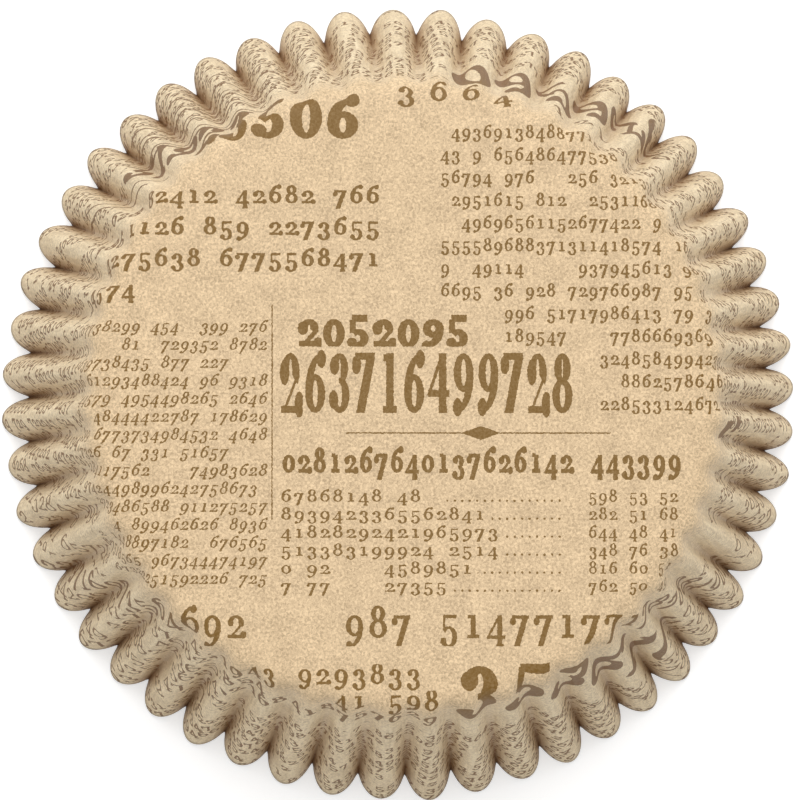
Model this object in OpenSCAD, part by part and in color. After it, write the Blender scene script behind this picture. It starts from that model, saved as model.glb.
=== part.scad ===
// Fluted paper baking cup, pressed from one round sheet of paper.
// It lies upside down on its rim, so the flat round base is on top and the cup opens downwards.
// The origin is in the middle of the rim, on the surface that the cup lies on.

/* [Base] */
// Diameter of the base, measured to the sharp corner that the turn rounds off
base_d = 52; // [36:0.5:60]
// Outside radius of the soft turn from the base into the wall
turn_r = 1.8; // [1:0.1:4]

/* [Wall] */
// Height of the cup, from the rim up to the outside of the base
cup_h = 20; // [14:0.5:40]
// Diameter of the rim, halfway between the ridge tips and the folds
rim_d = 67; // [62:0.5:86]
// Thickness of the paper
paper_t = 0.1; // [0.06:0.01:0.2]

/* [Pleats] */
// Number of pleats round the wall
pleats = 52; // [28:1:56]
// Depth of a pleat at the rim, from the tip of its ridge to the fold beside it
pleat_depth = 2.2; // [0.8:0.1:3.2]
// How soon the pleats deepen below the base: 1 is evenly, less is sooner
pleat_grow = 0.6; // [0.5:0.05:1]
// How much broader a ridge is than a fold: 0 is alike, more is a broad ridge and a narrow fold
ridge_broad = 0.75; // [0:0.05:0.85]
// How much higher the rim lies at a ridge than at a fold, because both were cut from one round sheet
rim_wave = 0.5; // [0:0.1:1]
// Share by which the pleats differ in depth from one to the next
uneven = 0.1; // [0:0.01:0.15]
// Angle by which the pleats are pushed towards one side of the cup
crowd_side = 1.8; // [0:0.1:3]
// Angle by which the pleats are pushed towards two opposite sides of the cup
crowd_pair = 1.1; // [0:0.1:2]
// Angle of the first fold, clockwise from the back of the cup
first_fold = 0.9; // [0:0.1:6]

/* [Hidden] */

// How finely the paper is drawn: points round one pleat, rings down the turn and rings down the wall
pleat_points = 8;
turn_rings = 2;
wall_rings = 4;

// Waves round the cup that make one pleat deeper than the next
uneven_waves = 19;

// Small distances used to find the direction of the surface at a point
probe_turn = 0.01;
probe_down = 0.05;

// Angle of the wall from upright, and what the turn takes off the sharp corner
wall_tilt = atan((rim_d - base_d) / 2 / cup_h);
turn_angle = 90 - wall_tilt;
corner_cut = turn_r * tan(turn_angle / 2);
flat_r = base_d / 2 - corner_cut;

// Lengths down the middle of a flank: the turn, the straight wall, and both together
turn_len = turn_r * turn_angle * PI / 180;
wall_len = norm([(rim_d - base_d) / 2, cup_h]) - corner_cut;
side_len = turn_len + wall_len;

// Where the turn ends and the straight wall starts
turn_end_r = flat_r + turn_r * sin(turn_angle);
turn_end_z = cup_h - turn_r * (1 - cos(turn_angle));

// Whole numbers of points in a ring and of rings down the paper
ring_points = pleats * ceil(pleat_points);
rings = ceil(turn_rings + wall_rings);

// Radius and height of the middle of a flank, at a distance down from the flat base
function side_r(down) =
    down < turn_len
        ? flat_r + turn_r * sin(down / turn_len * turn_angle)
        : turn_end_r + (down - turn_len) * sin(wall_tilt);
function side_z(down) =
    down < turn_len
        ? cup_h - turn_r * (1 - cos(down / turn_len * turn_angle))
        : turn_end_z - (down - turn_len) * cos(wall_tilt);

// How far the pleats have formed: 0 at the flat base and 1 at the rim
function formed(down) = pow(max(down, 0) / side_len, pleat_grow);

// Direction of a pleat number in degrees. Whole numbers are folds and halves are ridges.
function direction(pleat) =
    let (round = pleat * 360 / pleats)
    90 - first_fold - round - crowd_side * cos(round) - crowd_pair * sin(2 * round);

// A point on the outside of the paper, at a pleat number and a distance down from the flat base
function outside(pleat, down) =
    let (
        wave = pleat * 360,
        deep = pleat_depth * (1 + uneven * sin(pleat * 360 * uneven_waves / pleats)),
        r = side_r(down) - deep / 2 * formed(down) * cos(wave),
        a = direction(pleat - ridge_broad * formed(down) * sin(wave) / (2 * PI)),
        lift = rim_wave * formed(down) * max(down, 0) / side_len * (1 - cos(wave)) / 2
    )
    [r * cos(a), r * sin(a), side_z(down) + lift];

// Unit direction from the outside of the paper to its inside
function inward(pleat, down) =
    let (
        across = outside(pleat + probe_turn, down) - outside(pleat - probe_turn, down),
        along = outside(pleat, down + probe_down) - outside(pleat, down - probe_down),
        square = cross(along, across)
    )
    square / norm(square);

// The same point on the inside of the paper
function inside(pleat, down) =
    down <= 0
        ? outside(pleat, 0) - [0, 0, paper_t]
        : let (p = outside(pleat, down) + paper_t * inward(pleat, down))
          [p[0], p[1], max(p[2], 0)];

// Distance down from the flat base at which each ring of points lies
function ring_down(ring) =
    ring <= turn_rings
        ? turn_len * ring / turn_rings
        : min(side_len, turn_len + wall_len * (ring - turn_rings) / wall_rings);

// One piece of paper: a flat base, a soft turn and a wall in deepening pleats
module pleated_cup() {
    skin = (rings + 1) * ring_points;
    spacing = pleats / ring_points;
    outer = [
        for (ring = [0 : rings], i = [0 : ring_points - 1]) outside(i * spacing, ring_down(ring))
    ];
    inner = [
        for (ring = [0 : rings], i = [0 : ring_points - 1]) inside(i * spacing, ring_down(ring))
    ];
    bands = [
        for (ring = [0 : rings - 1], i = [0 : ring_points - 1])
            let (
                j = (i + 1) % ring_points,
                a = ring * ring_points + i,
                b = ring * ring_points + j,
                c = a + ring_points,
                d = b + ring_points
            )
            each [[a, d, b], [a, c, d], [skin + a, skin + b, skin + d], [skin + a, skin + d, skin + c]]
    ];
    edge = [
        for (i = [0 : ring_points - 1])
            let (
                j = (i + 1) % ring_points,
                a = rings * ring_points + i,
                b = rings * ring_points + j
            )
            each [[b, a, skin + a], [b, skin + a, skin + b]]
    ];
    top = [for (i = [0 : ring_points - 1]) i];
    under = [for (i = [ring_points - 1 : -1 : 0]) skin + i];
    color("#d9c3a0")
        polyhedron(points = concat(outer, inner), faces = concat([top, under], bands, edge), convexity = 10);
}

pleated_cup();
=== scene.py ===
import math

import bpy
import numpy as np
from mathutils import Matrix, Vector


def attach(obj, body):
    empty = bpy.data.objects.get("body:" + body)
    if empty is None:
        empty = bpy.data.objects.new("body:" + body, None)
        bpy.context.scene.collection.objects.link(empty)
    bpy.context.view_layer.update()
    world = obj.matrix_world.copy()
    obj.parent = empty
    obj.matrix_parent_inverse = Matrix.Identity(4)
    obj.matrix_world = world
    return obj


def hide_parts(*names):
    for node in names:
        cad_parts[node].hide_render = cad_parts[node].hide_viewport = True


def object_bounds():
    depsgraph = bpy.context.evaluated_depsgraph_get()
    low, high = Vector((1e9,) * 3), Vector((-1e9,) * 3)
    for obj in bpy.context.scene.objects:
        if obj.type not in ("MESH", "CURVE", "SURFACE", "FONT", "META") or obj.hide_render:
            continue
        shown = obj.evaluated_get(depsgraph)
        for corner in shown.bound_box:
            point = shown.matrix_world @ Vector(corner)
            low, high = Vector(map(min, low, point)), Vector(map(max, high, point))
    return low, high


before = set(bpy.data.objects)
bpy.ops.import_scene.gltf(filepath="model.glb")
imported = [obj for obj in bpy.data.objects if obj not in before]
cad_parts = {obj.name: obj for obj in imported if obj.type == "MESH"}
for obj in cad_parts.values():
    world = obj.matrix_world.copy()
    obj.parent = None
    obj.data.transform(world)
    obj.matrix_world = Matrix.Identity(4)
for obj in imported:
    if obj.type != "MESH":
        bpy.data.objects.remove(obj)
cad_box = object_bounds()


# The cup is one round sheet of thin baking paper, printed flat on one side and then pressed between
# two fluted dies into a flat base, a soft turn and a wall of 52 pleats. It lies upside down on its
# rim, with the printed outside up. The script does the same: a flat sheet, its print, the pressing.

BASE_D = 0.052  # to the sharp corner that the turn rounds off
TURN_R = 0.0018
CUP_H = cad_box[1][2]
RIM_D = 0.067  # halfway between the ridge tips and the folds
PAPER_T = 0.0001

PLEATS = 52
PLEAT_DEPTH = 0.0022
PLEAT_GROW = 0.6  # below 1, the pleats deepen sooner below the base
RIDGE_BROAD = 0.75
BROAD_GROW = 1.8  # above 1, the ridges are hardly broader than the folds until near the rim
RIM_WAVE = 0.0005
UNEVEN = 0.1
UNEVEN_WAVES = 19
CROWD_SIDE = math.radians(1.8)
CROWD_PAIR = math.radians(1.1)
FIRST_FOLD = math.radians(0.9)  # clockwise from the back

# How finely the sheet is drawn
POINTS_A_PLEAT = 24
TURN_RINGS = 5
WALL_RINGS = 22
BASE_RINGS = 5
FINE_STEPS = 64  # steps round one pleat when the length of its line is measured

wall_tilt = math.atan2((RIM_D - BASE_D) / 2, CUP_H)
turn_angle = math.pi / 2 - wall_tilt
corner_cut = TURN_R * math.tan(turn_angle / 2)
flat_r = BASE_D / 2 - corner_cut
turn_len = TURN_R * turn_angle
side_len = turn_len + math.hypot((RIM_D - BASE_D) / 2, CUP_H) - corner_cut
sheet_r = flat_r + side_len

# A flat round sheet, with rings from its edge in to the middle of the base
ring_points = PLEATS * POINTS_A_PLEAT
bpy.ops.object.select_all(action="DESELECT")
bpy.ops.mesh.primitive_circle_add(vertices=ring_points, radius=sheet_r, fill_type="NGON")
cup = bpy.context.object
cup.name = "baking_cup"
bpy.ops.object.mode_set(mode="EDIT")
bpy.ops.mesh.select_all(action="SELECT")
ring_widths = (
    [(side_len - turn_len) / WALL_RINGS] * WALL_RINGS
    + [turn_len / TURN_RINGS] * TURN_RINGS
    + [flat_r / (BASE_RINGS + 1)] * BASE_RINGS
)
for width in ring_widths:
    bpy.ops.mesh.inset(thickness=width)
bpy.ops.object.mode_set(mode="OBJECT")


def round_angle(pleat):
    """Direction of a pleat number on the sheet: whole numbers are folds and halves are ridges."""
    turn = pleat * 2 * math.pi / PLEATS
    return math.pi / 2 - FIRST_FOLD - turn - CROWD_SIDE * np.cos(turn) - CROWD_PAIR * np.sin(2 * turn)


def pressed(pleat, down):
    """Place on the outside of the pressed cup, at a distance down from the flat base."""
    bent = np.clip(down, 0, turn_len) / turn_len * turn_angle
    below = np.maximum(down - turn_len, 0)
    r = flat_r + np.minimum(down, 0) + TURN_R * np.sin(bent) + below * math.sin(wall_tilt)
    z = CUP_H - TURN_R * (1 - np.cos(bent)) - below * math.cos(wall_tilt)
    share = np.clip(down, 0, side_len) / side_len
    formed = share**PLEAT_GROW
    wave = pleat * 2 * math.pi
    deep = PLEAT_DEPTH * (1 + UNEVEN * np.sin(wave * UNEVEN_WAVES / PLEATS))
    r = r - deep / 2 * formed * np.cos(wave)
    broad = RIDGE_BROAD * share**BROAD_GROW
    angle = round_angle(pleat - broad * np.sin(wave) / (2 * math.pi))
    z = z + RIM_WAVE * formed * share * (1 - np.cos(wave)) / 2
    return np.stack([r * np.cos(angle), r * np.sin(angle), z], axis=-1)


flat = np.empty(len(cup.data.vertices) * 3)
cup.data.vertices.foreach_get("co", flat)
flat = flat.reshape(-1, 3)
sheet_dist = np.hypot(flat[:, 0], flat[:, 1])
down = sheet_dist - flat_r
pleat = (np.arctan2(flat[:, 0], flat[:, 1]) / (2 * math.pi) * PLEATS) % PLEATS

# The print is laid out on the flat sheet, so each point's place there is its place in the UV map
sheet_angle = round_angle(pleat)
sheet_place = sheet_dist[:, None] * np.stack([np.cos(sheet_angle), np.sin(sheet_angle)], axis=-1)
printed = cup.data.uv_layers.new(name="flat_sheet")
corner_points = np.empty(len(cup.data.loops), dtype=np.int32)
cup.data.loops.foreach_get("vertex_index", corner_points)
printed.data.foreach_set("uv", (0.5 + sheet_place[corner_points] / (2 * sheet_r)).ravel())
outside_faces = len(cup.data.polygons)

# Paper doesn't stretch, so the points of a ring are spread evenly along the line of each pleat
fine = np.linspace(0, PLEATS, PLEATS * FINE_STEPS + 1)
for ring in np.unique(np.round(down[down > 0], 7)):
    on_ring = np.abs(down - ring) < 2e-7
    line = pressed(fine, ring)
    run = np.concatenate([[0], np.cumsum(np.linalg.norm(np.diff(line, axis=0), axis=1))])
    wanted = np.interp(pleat[on_ring], np.arange(PLEATS + 1), run[::FINE_STEPS])
    pleat[on_ring] = np.interp(wanted, run, fine)
cup.data.vertices.foreach_set("co", pressed(pleat, down).ravel())

# A second map says where a point is on the wall: how near to a fold, and how far down
near_fold = (1 + np.cos(pleat * 2 * math.pi)) / 2
on_pleat = np.stack([near_fold, np.clip(down, 0, side_len) / side_len], axis=-1)
cup.data.uv_layers.new(name="pleat_map").data.foreach_set("uv", on_pleat[corner_points].ravel())

thickness = cup.modifiers.new("paper_thickness", "SOLIDIFY")
thickness.thickness = PAPER_T
thickness.offset = -1
bpy.ops.object.modifier_apply(modifier="paper_thickness")
for point in cup.data.vertices:
    point.co.z = max(point.co.z, 0)
for face in cup.data.polygons[outside_faces:]:
    face.material_index = 1
bpy.ops.object.shade_smooth_by_angle(angle=math.radians(60))


def colour(text):
    """Linear colour of an sRGB hex value."""
    shares = [int(text[i : i + 2], 16) / 255 for i in (1, 3, 5)]
    return [s / 12.92 if s <= 0.04045 else ((s + 0.055) / 1.055) ** 2.4 for s in shares] + [1]


def add(tree, kind, *inputs, out=0, steps=(), named=None, **settings):
    """Adds a node, sets or links its inputs, fills its ramp, and gives back one output if it has any."""
    node = tree.nodes.new("ShaderNode" + kind)
    for name, value in settings.items():
        setattr(node, name, value)
    for place, value in [*enumerate(inputs), *(named or {}).items()]:
        if isinstance(value, bpy.types.NodeSocket):
            tree.links.new(value, node.inputs[place])
        elif value is not None:
            node.inputs[place].default_value = value
    for number, (start, values) in enumerate(steps):
        ramp = node.color_ramp
        ramp.interpolation = "CONSTANT"
        step = ramp.elements[number] if number < 2 else ramp.elements.new(start)
        step.position = start
        step.color = values
    return node.outputs[out] if node.outputs else None


# The outside is printed like a page of an old newspaper that is set in plain numbers only. Lengths
# of the print are in millimetres, from the middle of the base, with x to the right and y to the back.

# The ten figures, on a body one wide and one high that stands on the line. The taller ones rise above
# it and the others hang below. Each is drawn with up to two bowls, two stems, two bars and two balls.
# bowl: middle x and y, half width, half height, direction of its middle, reach to each side (degrees)
# stem: x and y of its middle, lean (x for each y), half height
# bar: from x, to x, lower edge
# ball: x and y
FIGURES = (
    {"bowls": [(0, 0.50, 0.48, 0.50, 0, 190)]},
    {"thick_stem": (0.02, 0.50, 0, 0.50), "bars": [(-0.30, 0.34, 0), (-0.28, 0, 0.86)]},
    {
        "bowls": [(0, 0.68, 0.42, 0.32, 15, 115)],
        "thin_stem": (0, 0.315, 1.05, 0.265),
        "bars": [(-0.44, 0.46, 0)],
        "balls": [(-0.27, 0.68), (0.40, 0.14)],
    },
    {
        "bowls": [(-0.02, 0.64, 0.40, 0.36, 40, 130), (-0.02, 0.00, 0.46, 0.42, 110, 115)],
        "balls": [(-0.25, 0.70), (-0.30, -0.10)],
        "hangs": True,
    },
    {
        "thick_stem": (0.17, 0.29, 0, 0.71),
        "thin_stem": (-0.16, 0.49, 0.64, 0.49),
        "bars": [(-0.50, 0.48, -0.04), (-0.02, 0.38, -0.42)],
        "hangs": True,
    },
    {
        "bowls": [(-0.03, 0.05, 0.46, 0.47, 85, 130)],
        "thin_stem": (-0.27, 0.65, 0, 0.33),
        "bars": [(-0.30, 0.38, 0.86)],
        "balls": [(-0.30, -0.14)],
        "hangs": True,
    },
    {
        "bowls": [(0, 0.46, 0.46, 0.46, 0, 190), (0.30, 0.54, 0.76, 0.88, -45, 50)],
        "balls": [(0.28, 1.28)],
        "rises": True,
    },
    {
        "thick_stem": (0.04, 0.24, 0.36, 0.66),
        "bars": [(-0.44, 0.46, 0.84)],
        "balls": [(-0.38, 0.72)],
        "hangs": True,
    },
    {"bowls": [(0, 1.06, 0.38, 0.36, 0, 190), (0, 0.41, 0.47, 0.41, 0, 190)], "rises": True},
    {
        "bowls": [(0, 0.54, 0.46, 0.46, 0, 190), (-0.30, 0.46, 0.76, 0.88, 135, 50)],
        "balls": [(-0.28, -0.28)],
        "hangs": True,
    },
)
HANG = 0.42  # how far figures hang below or rise above the body, in body heights

# Each kind of setting, in four groups of four numbers:
# - where its rows start and end, its first line, and the way from one line to the next
# - width of a cell, share of it that a figure takes, height of the figures, slant
# - weight of the thick and of the thin strokes, if all figures stand between two lines (1 or 0),
#   share of cells left empty
# - after how many cells one is always empty, how much a row may end early, and how many rows there
#   are below and above the first
OFF = 60  # added to places so that none is below 0
LONG = 200
SETTINGS = {
    "bare": ((-60, -59, 0, 1), (1, 0.8, 1, 0), (0.2, 0.1, 0, 1), (1, 0, 0, 0)),
    "small": ((-60, 60, 0.37, 1.62), (0.97, 0.86, 0.84, 0), (0.22, 0.19, 0, 0.16), (LONG, 0, LONG, LONG)),
    "side": ((-60, 60, -9.6, 2.1), (1.7, 0.88, 1.15, 0), (0.19, 0.11, 0, 0.15), (LONG, 0, LONG, LONG)),
    "headline": ((-28, -2, 21.3, 6), (3.05, 0.92, 3.56, 0), (0.36, 0.15, 1, 0.03), (LONG, 0, 0, 0)),
    "spaced": ((-1.2, 60, 24.45, 9), (2.7, 0.56, 1.2, 0), (0.27, 0.15, 0, 0.10), (LONG, 0, 0, 0)),
    "large": ((-60.2, -0.6, 15.92, 2.62), (1.35, 0.84, 1.08, 0), (0.30, 0.16, 0, 0.12), (LONG, 0, 3, 0)),
    "column": ((2.94, 60, 21.39, 1.885), (0.88, 0.84, 0.80, 0), (0.27, 0.15, 0, 0.13), (LONG, 0, 12, 0)),
    "italic": ((-60, -11.3, 5.24, 1.49), (0.81, 0.84, 0.72, 0.25), (0.25, 0.13, 0, 0.15), (LONG, 0, 14, 0)),
    "slab": ((-8.94, 5.7, 3.92, 6), (2.06, 0.92, 2.4, 0), (0.37, 0.21, 1, 0), (LONG, 0, 0, 0)),
    "tall": ((-10.47, 14.2, -1.47, 9), (2.05, 0.88, 4.97, 0), (0.35, 0.10, 1, 0), (LONG, 0, 0, 0)),
    "bold": ((-10.22, 23.4, -6.43, 6), (1.28, 0.86, 1.5, 0), (0.34, 0.19, 0, 0.06), (LONG, 0, 0, 0)),
    "entries": ((-10.33, 8.7, -8.83, 1.49), (1.07, 0.80, 0.74, 0), (0.25, 0.13, 0, 0.08), (LONG, 9, 5, 0)),
    "numbers": ((15.2, 23.1, -8.83, 1.49), (0.84, 0.84, 0.74, 0), (0.25, 0.13, 0, 0), (3, 0, 5, 0)),
    "line": ((-60.6, 60, -20.1, 6.6), (1.96, 0.80, 1.9, 0), (0.27, 0.13, 0, 0.12), (LONG, 0, 2, 0)),
    "medium": ((-60, 4.0, -23.9, 2.2), (1.5, 0.80, 1.25, 0), (0.28, 0.14, 0, 0.12), (LONG, 0, 2, 0)),
    "giant": ((-0.3, 60, 26.4, 54.6), (4.4, 0.84, 5.8, 0), (0.32, 0.11, 1, 0), (LONG, 0, 1, 0)),
}

# The page from its front edge to its back edge: where each band starts, where its left part ends and
# its right part starts, and how the left, middle and right parts and both far sides are set
BANDS = (
    (-60, 0, 0, "small", "small", "small", "small"),
    (-34.2, -17.0, 0, "side", "small", "small", "side"),
    (-30.6, -17.0, 4.1, "side", "medium", "giant", "side"),
    (-21.0, 0, 0, "line", "line", "line", "line"),
    (-17.4, -11.3, 60, "bare", "bare", "bare", "side"),
    (-16.8, -11.3, 14.6, "italic", "entries", "numbers", "side"),
    (-10.2, -11.3, 14.6, "italic", "entries", "numbers", "small"),
    (-7.2, -11.3, 60, "italic", "bold", "bold", "small"),
    (-4.2, -11.3, 60, "italic", "bare", "bare", "small"),
    (-2.1, -11.3, 16.14, "italic", "tall", "column", "small"),
    (3.9, -11.3, 8.22, "italic", "slab", "column", "small"),
    (7.5, -18.35, 2.06, "large", "bare", "column", "small"),
    (9.9, -0.6, 2.06, "large", "bare", "column", "small"),
    (18.0, -2.0, 2.06, "bare", "bare", "column", "small"),
    (20.7, -2.0, 2.06, "headline", "bare", "column", "small"),
    (23.7, -2.0, 60, "headline", "spaced", "spaced", "small"),
    (26.4, -11.6, 4.1, "small", "bare", "giant", "small"),
    (27.0, -11.6, 4.1, "small", "small", "giant", "small"),
    (33.9, 0, 0, "small", "small", "small", "small"),
)
BAND_LOW = -38.1  # the bands are told apart from here up, in steps of BAND_STEP
BAND_STEP = 0.3
STEPS = 255  # between the two ends of the bands
FAR_SIDE = 28.5  # the far sides lie beyond this, to the left and the right
names = list(SETTINGS)


def setting_place(name):
    """Where a kind of setting lies between 0 and 1 in the ramps that hold their numbers."""
    return (names.index(name) + 0.5) / len(names)


paper = bpy.data.materials.new("printed_baking_paper")
paper.use_nodes = True
tree = paper.node_tree
tree.nodes.clear()


def setting(group):
    """The four numbers in this group of the kind of setting at this place."""
    steps = []
    for number, groups in enumerate(SETTINGS.values()):
        first, second, third, fourth = groups[group]
        move = 0 if group else OFF
        steps.append((number / len(SETTINGS), (first + move, second + move, third + move, fourth)))
    picked = add(tree, "ValToRGB", which, steps=steps)
    return (*add(tree, "SeparateXYZ", picked).node.outputs, picked.node.outputs[1])


# Place on the sheet, with the edge of the ink roughened by the fibres of the paper
INK_CREEP = 0.12  # how far the edge of the ink wanders
CREEPS_A_MM = 5.0
sheet_mm = 2000 * sheet_r
uv = add(tree, "UVMap", uv_map="flat_sheet")
place = add(
    tree, "VectorMath", uv, (sheet_mm,) * 3, (-sheet_mm / 2, -sheet_mm / 2, 0), operation="MULTIPLY_ADD"
)
rough = add(tree, "TexNoise", place, None, CREEPS_A_MM, 1.0, 0.6, noise_dimensions="2D", out=1)
least = OFF - INK_CREEP / 2
spread = add(
    tree, "VectorMath", rough, (INK_CREEP, INK_CREEP, 0), (least, least, 0), operation="MULTIPLY_ADD"
)
inked_place = add(tree, "VectorMath", place, spread, operation="ADD")
x, y, _ = add(tree, "SeparateXYZ", inked_place).node.outputs

# Which kind of setting lies here. A band starts a little early, so that rounding can't leave it late.
EARLY = 0.0005
band_share = 1 / (STEPS * BAND_STEP)
up_page = add(tree, "Math", y, band_share, (-BAND_LOW - OFF) * band_share, operation="MULTIPLY_ADD")
bounds, settings = [], []
for start, left_end, right_start, *kinds in BANDS:
    share = max(0, (start - BAND_LOW) * band_share - EARLY)
    left, middle_kind, right, far = [setting_place(kind) for kind in kinds]
    bounds.append((share, (left_end + OFF, right_start + OFF, 0, far)))
    settings.append((share, (left, middle_kind, right, 1)))
ends = add(tree, "ValToRGB", up_page, steps=bounds)
left_end, right_start, _ = add(tree, "SeparateXYZ", ends).node.outputs
kinds = add(tree, "ValToRGB", up_page, steps=settings)
left, middle_kind, right = add(tree, "SeparateXYZ", kinds).node.outputs
in_left = add(tree, "Math", x, left_end, operation="LESS_THAN")
before_right = add(tree, "Math", x, right_start, operation="LESS_THAN")
near = add(tree, "Math", x, OFF, FAR_SIDE, operation="COMPARE")
which = add(tree, "Mix", before_right, None, right, middle_kind)
which = add(tree, "Mix", in_left, None, which, left)
which = add(tree, "Mix", near, None, ends.node.outputs[1], which)

# The row and the cell of this place, and where it lies on the figure's body
row_start, row_end, first_line, pitch = setting(0)
cell, fill, height, slant = setting(1)
heavy, light, lined, empty_share = setting(2)
every, early, rows_below, rows_above = setting(3)
below_line = 0.25  # share of the way to the next line that belongs to the row above it
from_first = add(tree, "Math", y, first_line, operation="SUBTRACT")
rows_up = add(tree, "Math", from_first, pitch, operation="DIVIDE")
row = add(tree, "Math", add(tree, "Math", rows_up, below_line, operation="ADD"), operation="FLOOR")
line_up = add(tree, "Math", row, pitch, operation="MULTIPLY")
above = add(tree, "Math", from_first, line_up, operation="SUBTRACT")
lean_by = add(tree, "Math", above, slant, operation="MULTIPLY")
leaned = add(tree, "Math", x, lean_by, operation="SUBTRACT")
from_start = add(tree, "Math", leaned, row_start, operation="SUBTRACT")
cells = add(tree, "Math", from_start, cell, operation="DIVIDE")
column = add(tree, "Math", cells, operation="FLOOR")
in_cell = add(tree, "Math", add(tree, "Math", cells, operation="FRACT"), 0.5, operation="SUBTRACT")
body_x = add(tree, "Math", add(tree, "Math", in_cell, fill, operation="DIVIDE"), 1, operation="ADD")
body_y = add(tree, "Math", above, height, operation="DIVIDE")
cell_name = add(tree, "CombineXYZ", column, row, which)
chance = add(tree, "TexWhiteNoise", cell_name)
other_chance, _, _ = add(tree, "SeparateXYZ", chance.node.outputs[1]).node.outputs

# Cells left empty: the gaps between numbers, some whole stretches, the ends of rows, and all but the
# rows that this kind of setting has. A row's first stretch and first cell are never empty.
STRETCH = 4  # cells
STRETCH_SHARE = 0.4  # how often a stretch is empty, against how often a cell is
stretch = add(tree, "Math", add(tree, "Math", column, STRETCH, operation="DIVIDE"), operation="FLOOR")
stretch_chance = add(tree, "TexWhiteNoise", add(tree, "CombineXYZ", stretch, row, which))
gap_share = add(tree, "Math", empty_share, STRETCH_SHARE, operation="MULTIPLY")
written = add(tree, "Math", stretch_chance, gap_share, operation="GREATER_THAN")
first_stretch = add(tree, "Math", stretch, 0.5, operation="LESS_THAN")
written = add(tree, "Math", written, first_stretch, operation="MAXIMUM")
filled = add(tree, "Math", other_chance, empty_share, operation="GREATER_THAN")
group_place = add(tree, "Math", column, every, operation="MODULO")
in_group = add(tree, "Math", group_place, 0.5, operation="GREATER_THAN")
first_cell = add(tree, "Math", column, 0, 0.5, operation="COMPARE")
in_group = add(tree, "Math", in_group, first_cell, operation="MAXIMUM")
row_chance = add(tree, "TexWhiteNoise", None, row, noise_dimensions="1D")
cut = add(tree, "Math", row_chance, early, operation="MULTIPLY")
text_end = add(tree, "Math", row_end, cut, operation="SUBTRACT")
next_cell = add(tree, "Math", column, 1, operation="ADD")
cell_end = add(tree, "Math", next_cell, cell, row_start, operation="MULTIPLY_ADD")
before_end = add(tree, "Math", cell_end, text_end, operation="LESS_THAN")
from_lowest = add(tree, "Math", row, rows_below, operation="ADD")
not_below = add(tree, "Math", from_lowest, -0.5, operation="GREATER_THAN")
from_highest = add(tree, "Math", row, rows_above, operation="SUBTRACT")
not_above = add(tree, "Math", from_highest, 0.5, operation="LESS_THAN")
drawn = filled
for limit in (written, in_group, before_end, not_below, not_above):
    drawn = add(tree, "Math", drawn, limit, operation="MULTIPLY")


def of_figure(values):
    """Four numbers for the figure drawn in this cell, from a list with four for each figure."""
    steps = [(number / len(FIGURES), numbers) for number, numbers in enumerate(values)]
    picked = add(tree, "ValToRGB", chance, steps=steps)
    return picked, picked.node.outputs[1]


# Bodies are moved 1 to the right and up, so that no number of a figure is below 0. Strokes that a
# figure doesn't have lie out of sight.
AWAY = 8
hang, rise = [], []
for figure in FIGURES:
    hang.append(HANG if figure.get("hangs") else 0)
    rise.append(HANG if figure.get("hangs") or figure.get("rises") else 0)
lined_up, _ = of_figure([(h, r, 0, 1) for h, r in zip(hang, rise)])
drop, growth, _ = add(tree, "SeparateXYZ", lined_up).node.outputs
taller = add(tree, "Math", lined, growth, 1, operation="MULTIPLY_ADD")
light = add(tree, "Math", light, taller, operation="MULTIPLY")
lowered = add(tree, "Math", add(tree, "Math", lined, drop, operation="MULTIPLY"), 1, operation="SUBTRACT")
body_y = add(tree, "Math", body_y, taller, operation="MULTIPLY")
body_y = add(tree, "Math", body_y, lowered, operation="SUBTRACT")
body = add(tree, "CombineXYZ", body_x, body_y, 0)
stroke = add(tree, "CombineXYZ", heavy, light, 0)
parts = []
for number in range(2):
    centres, sizes = [], []
    for figure in FIGURES:
        bowls = figure.get("bowls", [])
        if number < len(bowls):
            across, up, half_x, half_y, way, reach = bowls[number]
            centres.append((across + 1, up + 1, 0, math.radians(way % 360)))
            sizes.append((half_x, half_y, 1, math.radians(reach)))
        else:
            centres.append((AWAY, AWAY, 0, 0))
            sizes.append((1, 1, 1, 0))
    centre, way = of_figure(centres)
    size, reach = of_figure(sizes)
    off_centre = add(tree, "VectorMath", body, centre, operation="SUBTRACT")
    outer = add(tree, "VectorMath", off_centre, size, operation="DIVIDE")
    inner_size = add(tree, "VectorMath", size, stroke, operation="SUBTRACT")
    inner = add(tree, "VectorMath", off_centre, inner_size, operation="DIVIDE")
    outer_len = add(tree, "VectorMath", outer, operation="LENGTH", out=1)
    inner_len = add(tree, "VectorMath", inner, operation="LENGTH", out=1)
    in_outer = add(tree, "Math", outer_len, 1, operation="LESS_THAN")
    off_inner = add(tree, "Math", inner_len, 1, operation="GREATER_THAN")
    in_band = add(tree, "Math", in_outer, off_inner, operation="MULTIPLY")
    out_x, out_y, _ = add(tree, "SeparateXYZ", outer).node.outputs
    turn = add(tree, "Math", out_x, out_y, operation="ARCTAN2")
    turn = add(tree, "Math", turn, way, operation="SUBTRACT")
    turn = add(tree, "Math", turn, math.pi, -math.pi, operation="WRAP")
    in_reach = add(tree, "Math", turn, 0, reach, operation="COMPARE")
    parts.append(add(tree, "Math", in_band, in_reach, operation="MULTIPLY"))

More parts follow.
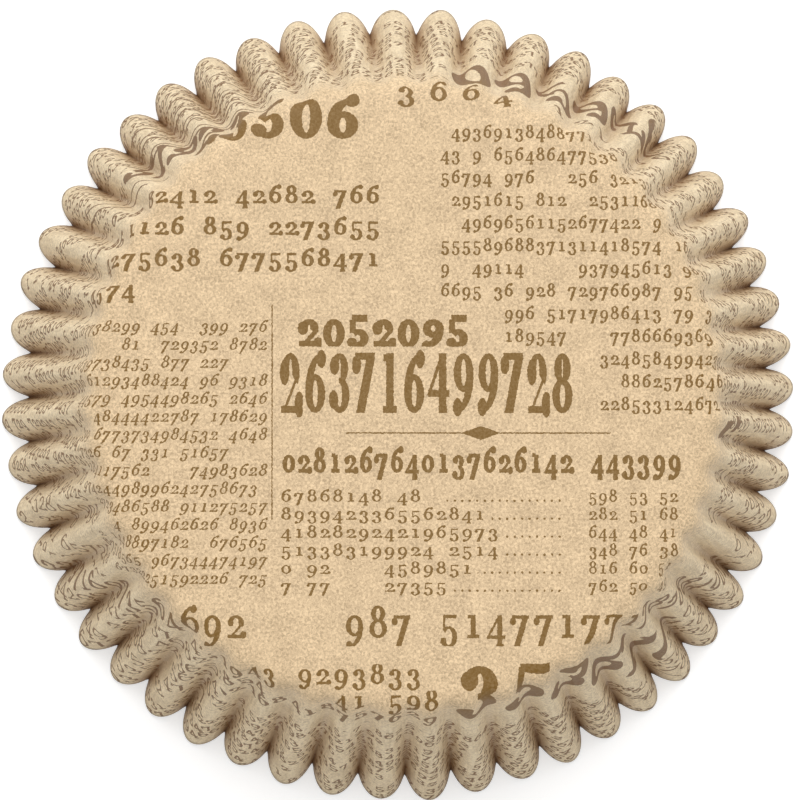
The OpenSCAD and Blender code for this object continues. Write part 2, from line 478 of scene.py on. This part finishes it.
# A stem is as wide as its stroke, and wider where it leans. A thin one is a little finer.
LEAN_WIDER = 0.4
thick_half = add(tree, "Math", heavy, 0.5, operation="MULTIPLY")
thin_half = add(tree, "Math", light, 0.45, operation="MULTIPLY")
for kind, width in (("thick_stem", thick_half), ("thin_stem", thin_half)):
    stems = []
    for figure in FIGURES:
        across, up, lean, half = figure.get(kind, (AWAY, AWAY, 0, 0))
        stems.append((across + 1, up + 1, lean, half))
    stem, half = of_figure(stems)
    across, up, lean = add(tree, "SeparateXYZ", stem).node.outputs
    from_middle = add(tree, "Math", body_y, up, operation="SUBTRACT")
    leaning = add(tree, "Math", from_middle, lean, across, operation="MULTIPLY_ADD")
    wider = add(tree, "Math", lean, LEAN_WIDER, 1, operation="MULTIPLY_ADD")
    width = add(tree, "Math", width, wider, operation="MULTIPLY")
    in_width = add(tree, "Math", body_x, leaning, width, operation="COMPARE")
    in_height = add(tree, "Math", from_middle, 0, half, operation="COMPARE")
    parts.append(add(tree, "Math", in_width, in_height, operation="MULTIPLY"))

# A bar's height, and a ball's radius, as shares of the thin and of the thick stroke
BAR_RISE = 1.2
BALL_SHARE = 0.62
for number in range(2):
    bars = []
    for figure in FIGURES:
        if number < len(figure.get("bars", [])):
            start, end, low = figure["bars"][number]
            bars.append(((start + end) / 2 + 1, low + 1, (end - start) / 2, 1))
        else:
            bars.append((AWAY, AWAY, 0, 1))
    bar, _ = of_figure(bars)
    across, low, half = add(tree, "SeparateXYZ", bar).node.outputs
    in_length = add(tree, "Math", body_x, across, half, operation="COMPARE")
    over_low = add(tree, "Math", body_y, low, operation="SUBTRACT")
    rise_share = add(tree, "Math", over_low, light, operation="DIVIDE")
    in_rise = add(tree, "Math", rise_share, BAR_RISE / 2, BAR_RISE / 2, operation="COMPARE")
    parts.append(add(tree, "Math", in_length, in_rise, operation="MULTIPLY"))

ball_r = add(tree, "Math", heavy, BALL_SHARE, operation="MULTIPLY")
for number in range(2):
    balls = []
    for figure in FIGURES:
        if number < len(figure.get("balls", [])):
            across, up = figure["balls"][number]
            balls.append((across + 1, up + 1, 0, 1))
        else:
            balls.append((AWAY, AWAY, 0, 1))
    ball, _ = of_figure(balls)
    off_ball = add(tree, "VectorMath", body, ball, operation="DISTANCE", out=1)
    parts.append(add(tree, "Math", off_ball, ball_r, operation="LESS_THAN"))

ink = parts[0]
for part in parts[1:]:
    ink = add(tree, "Math", ink, part, operation="MAXIMUM")
ink = add(tree, "Math", ink, drawn, operation="MULTIPLY")

# Dotted leaders from the end of each entry of the table to its numbers
LEADER_END = 13.4
DOT_PITCH = 0.62
DOT_R = 0.1
in_table = add(tree, "Math", which, setting_place("entries"), 0.01, operation="COMPARE")
after_text = add(tree, "Math", x, text_end, operation="GREATER_THAN")
before_numbers = add(tree, "Math", x, LEADER_END + OFF, operation="LESS_THAN")
dot_share = add(tree, "Math", add(tree, "Math", x, DOT_PITCH, operation="DIVIDE"), operation="FRACT")
dot_x = add(tree, "Math", dot_share, DOT_PITCH, -DOT_PITCH / 2, operation="MULTIPLY_ADD")
dot_y = add(tree, "Math", above, DOT_R, operation="SUBTRACT")
dot_dist = add(tree, "VectorMath", add(tree, "CombineXYZ", dot_x, dot_y, 0), operation="LENGTH", out=1)
dots = add(tree, "Math", dot_dist, DOT_R, operation="LESS_THAN")
for limit in (in_table, after_text, before_numbers, not_below, not_above):
    dots = add(tree, "Math", dots, limit, operation="MULTIPLY")
ink = add(tree, "Math", ink, dots, operation="MAXIMUM")

# The page ends short of the back edge of the sheet, where the next one starts
PAGE_END = 43.4
NEXT_PAGE = 46.3
on_page = add(tree, "Math", y, PAGE_END + OFF, operation="LESS_THAN")
on_next = add(tree, "Math", y, NEXT_PAGE + OFF, operation="GREATER_THAN")
ink = add(tree, "Math", ink, add(tree, "Math", on_page, on_next, operation="MAXIMUM"), operation="MULTIPLY")

# Rules and two solid bars: middle x and y, half length and half height. A rule has a diamond on it.
RULES = (
    (-10.97, -1.4, 0.05, 8.9),
    (6.13, -3.12, 10.97, 0.06),
    (-29.0, 19.1, 6.0, 0.10),
    (-28.0, 20.1, 6.5, 0.08),
    (-21.0, 24.5, 8.0, 0.16),
    (-20.0, 25.3, 8.5, 0.11),
    (-22.5, 27.3, 9.0, 0.13),
    (-21.0, 28.1, 9.5, 0.10),
    (-22.0, 30.0, 9.5, 0.14),
    (-20.0, 30.9, 9.0, 0.10),
    (-20.0, 33.1, 8.5, 0.12),
    (-18.0, 35.6, 8.0, 0.10),
    (28.7, -2.9, 0.75, 0.8),
    (30.9, -2.5, 0.4, 0.8),
    (24.0, -31.6, 9.0, 0.07),
    (20.0, -33.4, 12.0, 0.06),
)
DIAMOND = (6.33, -3.12, 1.66, 0.58)
for across, up, half_x, half_y in RULES:
    on_x = add(tree, "Math", x, across + OFF, half_x, operation="COMPARE")
    on_y = add(tree, "Math", y, up + OFF, half_y, operation="COMPARE")
    ink = add(tree, "Math", ink, add(tree, "Math", on_x, on_y, operation="MULTIPLY"), operation="MAXIMUM")
across, up, half_x, half_y = DIAMOND
shifted = add(tree, "VectorMath", inked_place, (across + OFF, up + OFF, 0), operation="SUBTRACT")
shares = add(tree, "VectorMath", shifted, (half_x, half_y, 1), operation="DIVIDE")
shares = add(tree, "VectorMath", shares, operation="ABSOLUTE")
total = add(tree, "VectorMath", shares, (1, 1, 0), operation="DOT_PRODUCT", out=1)
ink = add(tree, "Math", ink, add(tree, "Math", total, 1, operation="LESS_THAN"), operation="MAXIMUM")

# Baking paper, made of short fibres and pressed smooth, so it is matt with a fine speckle and a faint
# cloud, and has paper's usual IOR of 1.5. The wall has fine creases down the pleats, and its paper and
# ink are painted paler and greyer than on the base, as painted sheen where the light grazes it. The
# folds are painted brown as painted shade, stronger towards the rim, with a darker painted shadow along
# each fold near the rim. The cut edge of the sheet is darker and greyer. The ink is olive brown. The
# speckle is drawn coarser than the real fibres, which would be too fine to show.
FIBRES_A_MM = 4.6
FIBRE_TWIST = 0.6  # how far the speckle is distorted
CLOUDS_A_MM = 0.55
CREASES_A_MM = 1.9
CREASE_RUN = 0.16  # how fast creases change down the wall, against round it
CREASE_DEPTH = 10.0  # against the fibres
BUMP_STRENGTH = 0.35
BUMP_HEIGHT = 0.00004
WALL_FADE = 4.5  # the wall's colour comes in over this
# painted shade in the folds: how narrow it is, and how late it comes in down the wall
FOLD_SHADE_NARROW = 2.1
FOLD_SHADE_LATE = 1.4
# painted shadow along each fold near the rim: how narrow it is, and how late it comes in down the wall
NOTCH_SHADOW_NARROW = 12.0
NOTCH_SHADOW_LATE = 4.0
from_centre = add(tree, "VectorMath", place, operation="LENGTH", out=1)
wall_start = flat_r * 1000 + 0.5
on_wall = add(tree, "MapRange", from_centre, wall_start, wall_start + WALL_FADE, 0.0, 1.0)
on_pleat = add(tree, "UVMap", uv_map="pleat_map")
near_fold, down_wall, _ = add(tree, "SeparateXYZ", on_pleat).node.outputs
fibre = add(
    tree, "TexNoise", place, None, FIBRES_A_MM, 3.0, 0.62, None, None, None, FIBRE_TWIST,
    noise_dimensions="2D",
)
cloud = add(tree, "TexNoise", place, None, CLOUDS_A_MM, 2.0, 0.5, noise_dimensions="2D")
outward = add(tree, "VectorMath", place, operation="NORMALIZE")
slow = add(tree, "Math", from_centre, CREASE_RUN, operation="MULTIPLY")
slow = add(tree, "CombineXYZ", 0, 0, slow)
round_wall = add(tree, "VectorMath", outward, (sheet_mm / 2,) * 3, slow, operation="MULTIPLY_ADD")
crinkle = add(tree, "TexNoise", round_wall, None, CREASES_A_MM, 3.0, 0.6)
cloud_part = add(tree, "Math", cloud, 0.18, operation="MULTIPLY")
mottle = add(tree, "Math", fibre, 0.82, cloud_part, operation="MULTIPLY_ADD")
base_shade = add(tree, "MapRange", mottle, 0.335, 0.665, 0.0, 1.0)
mottle_part = add(tree, "Math", mottle, 0.7, operation="MULTIPLY")
wall_mottle = add(tree, "Math", crinkle, 0.3, mottle_part, operation="MULTIPLY_ADD")
wall_shade = add(tree, "MapRange", wall_mottle, 0.405, 0.595, 0.0, 1.0)
base_paper = add(tree, "MixRGB", base_shade, colour("#c2a782"), colour("#ffe0b4"))
# painted sheen: the wall's paper is painted paler and greyer than the base's
sheened_wall_paper = add(tree, "MixRGB", wall_shade, colour("#d4bc96"), colour("#ffeac4"))
bare_paper = add(tree, "MixRGB", on_wall, base_paper, sheened_wall_paper)
# painted sheen: the ink is painted greyer on the wall
ink_colour = add(tree, "MixRGB", on_wall, colour("#7e5a12"), colour("#785220"))
ink_strength = add(tree, "MapRange", fibre, 0.3, 0.7, 1.0, 0.86)
inked = add(tree, "Math", ink, ink_strength, operation="MULTIPLY")
printed_paper = add(tree, "MixRGB", inked, bare_paper, ink_colour)
# painted shade: the folds are painted brown, stronger towards the rim
in_fold = add(tree, "Math", near_fold, FOLD_SHADE_NARROW, operation="POWER")
lower_down = add(tree, "Math", down_wall, FOLD_SHADE_LATE, operation="POWER")
fold_shade_mask = add(tree, "Math", in_fold, lower_down, operation="MULTIPLY")
fold_shaded_paper = add(tree, "MixRGB", fold_shade_mask, printed_paper, colour("#865200"))
# painted shadow: a darker brown line along each fold, near the rim
fold_line = add(tree, "Math", near_fold, NOTCH_SHADOW_NARROW, operation="POWER")
near_rim = add(tree, "Math", down_wall, NOTCH_SHADOW_LATE, operation="POWER")
notch_shadow_mask = add(tree, "Math", fold_line, near_rim, operation="MULTIPLY")
notch_shadow_mask = add(tree, "Math", notch_shadow_mask, 0.6, operation="MULTIPLY")
fold_shaded_paper = add(tree, "MixRGB", notch_shadow_mask, fold_shaded_paper, colour("#4a2a08"))
at_edge = add(tree, "MapRange", down_wall, 0.975, 0.99, 0.0, 0.5)
seen_colour = add(tree, "MixRGB", at_edge, fold_shaded_paper, colour("#6b5540"))
creases = add(tree, "Math", on_wall, CREASE_DEPTH, operation="MULTIPLY")
relief = add(tree, "Math", crinkle, creases, fibre, operation="MULTIPLY_ADD")
bump = add(tree, "Bump", BUMP_STRENGTH, BUMP_HEIGHT, None, relief)
dull = add(tree, "MapRange", fibre, 0.3, 0.7, 0.55, 0.7)
surface = {"Base Color": seen_colour, "Roughness": dull, "Normal": bump}
add(tree, "OutputMaterial", add(tree, "BsdfPrincipled", named=surface))
cup.data.materials.append(paper)

# The inside is the same paper without print, so it is paler, with the speckle alone
inside = bpy.data.materials.new("plain_baking_paper")
inside.use_nodes = True
tree = inside.node_tree
tree.nodes.clear()
uv = add(tree, "UVMap", uv_map="flat_sheet")
place = add(tree, "VectorMath", uv, (sheet_mm,) * 3, operation="MULTIPLY")
fibre = add(
    tree, "TexNoise", place, None, FIBRES_A_MM, 3.0, 0.62, None, None, None, FIBRE_TWIST,
    noise_dimensions="2D",
)
pale = add(tree, "MixRGB", fibre, colour("#d8c6a6"), colour("#fff0d6"))
bump = add(tree, "Bump", BUMP_STRENGTH, BUMP_HEIGHT, None, fibre)
dull = add(tree, "MapRange", fibre, 0.3, 0.7, 0.6, 0.75)
surface = {"Base Color": pale, "Roughness": dull, "Normal": bump}
add(tree, "OutputMaterial", add(tree, "BsdfPrincipled", named=surface))
cup.data.materials.append(inside)
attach(cup, "root")
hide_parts("pleated_cup")


# The surface that the cup lies on: a plain white sheet of card, wide enough to fill every view. It
# shows white to the camera and in any gloss, and lights the cup only as pale card does.

FLOOR_SIZE = 6.0
CARD_GLOW = 0.5  # what the camera sees on top of the card's own white
bpy.ops.object.select_all(action="DESELECT")
bpy.ops.mesh.primitive_plane_add(size=FLOOR_SIZE)
floor = bpy.context.object
floor.name = "floor"
card = bpy.data.materials.new("white_card")
card.use_nodes = True
tree = card.node_tree
tree.nodes.clear()
matt = add(tree, "BsdfDiffuse", colour("#e6e6e6"))
lit = add(tree, "Emission", colour("#ffffff"), CARD_GLOW)
path = add(tree, "LightPath").node.outputs
looked_at = add(tree, "Math", path["Is Camera Ray"], path["Is Glossy Ray"], operation="ADD")
looked_at = add(tree, "Math", looked_at, path["Is Transmission Ray"], operation="ADD")
seen = add(tree, "MixShader", looked_at, add(tree, "Emission", colour("#000000"), 0.0), lit)
add(tree, "OutputMaterial", add(tree, "AddShader", matt, seen))
floor.data.materials.append(card)


# Soft studio light: a wide round lamp above and behind the cup, at the top of the picture, and an
# even white world that fills its shadows.

LAMP_PLACE = Vector((0.0, 0.66, 0.98))
LAMP_SIZE = 0.7
LAMP_POWER = 7.9
WORLD_LEVEL = 0.52

lamp_data = bpy.data.lights.new("window_light", "AREA")
lamp_data.shape = "DISK"
lamp_data.size = LAMP_SIZE
lamp_data.energy = LAMP_POWER
lamp = bpy.data.objects.new("window_light", lamp_data)
lamp.location = LAMP_PLACE
lamp.rotation_euler = (-LAMP_PLACE).to_track_quat("-Z", "Y").to_euler()
bpy.context.collection.objects.link(lamp)

world = bpy.data.worlds.new("pale_room")
world.use_nodes = True
world.node_tree.nodes["Background"].inputs["Color"].default_value = colour("#ffffff")
world.node_tree.nodes["Background"].inputs["Strength"].default_value = WORLD_LEVEL
bpy.context.scene.world = world


# The camera looks almost straight down on the base, from a little to the left and in front. It is
# close, so the base looks larger against the rim than it is.

PICTURE_WIDTH = 800  # pixels
BASE_SCALE = 12077.0  # pixels for each metre at the height of the base
BASE_SPOT = (404.5, 395.3)  # pixel that the middle of the base lands on
CAMERA_DIST = 0.360  # above the base
CAMERA_ASIDE = (-0.0090, -0.0126)

camera_data = bpy.data.cameras.new("camera")
camera_data.sensor_width = 36  # millimetres, as the lens is
camera_data.lens = camera_data.sensor_width * BASE_SCALE * CAMERA_DIST / PICTURE_WIDTH
camera = bpy.data.objects.new("camera", camera_data)
camera.location = (CAMERA_ASIDE[0], CAMERA_ASIDE[1], CUP_H + CAMERA_DIST)
middle = PICTURE_WIDTH / 2
aim = Vector((middle - BASE_SPOT[0], BASE_SPOT[1] - middle, BASE_SCALE * CUP_H)) / BASE_SCALE
back = (camera.location - aim).normalized()
right = Vector((0, 1, 0)).cross(back).normalized()
camera.rotation_euler = Matrix((right, back.cross(right), back)).transposed().to_euler()
bpy.context.collection.objects.link(camera)
bpy.context.scene.camera = camera

bpy.context.scene.view_settings.view_transform = "Standard"
